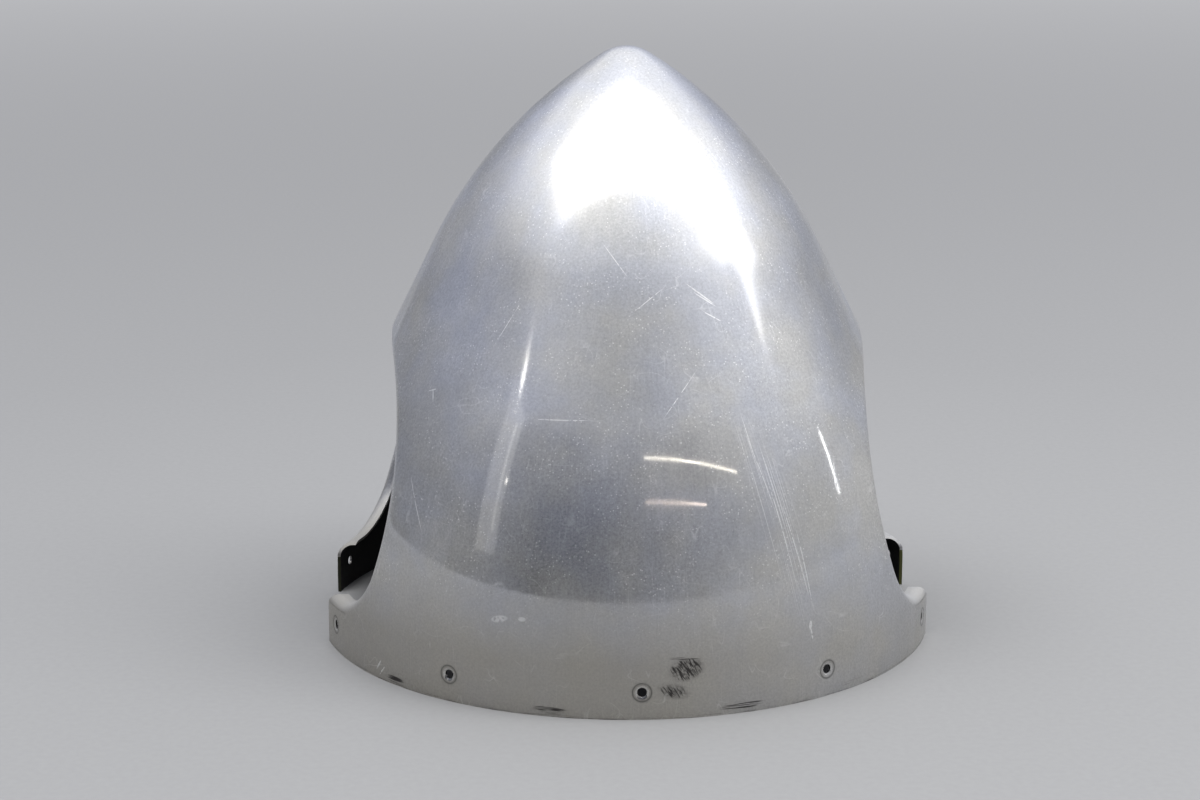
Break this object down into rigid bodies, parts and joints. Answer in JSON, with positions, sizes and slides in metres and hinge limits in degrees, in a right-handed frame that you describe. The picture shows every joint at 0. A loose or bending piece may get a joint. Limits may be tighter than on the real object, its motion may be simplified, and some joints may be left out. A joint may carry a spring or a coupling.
{
  "type": "propeller spinner",
  "caption": "Pointed sheet-metal dome for a two-blade propeller hub, open at the rim, with two keyhole blade cutouts and radial screw holes.",
  "frame": {"origin": "centre of the open rim, on the plane that the rim stands on", "axes": "+Z along the spin axis from the rim to the nose; the blades leave along +X and -X; the screw panels face -Y and +Y"},
  "size_m": [0.332, 0.343, 0.3229],
  "materials": {
    "polished_sheet": "hazy polish outside, matte black paint inside"
  },
  "bodies": {
    "root": {"spinner_dome": "polished_sheet"}
  },
  "joints": []
}
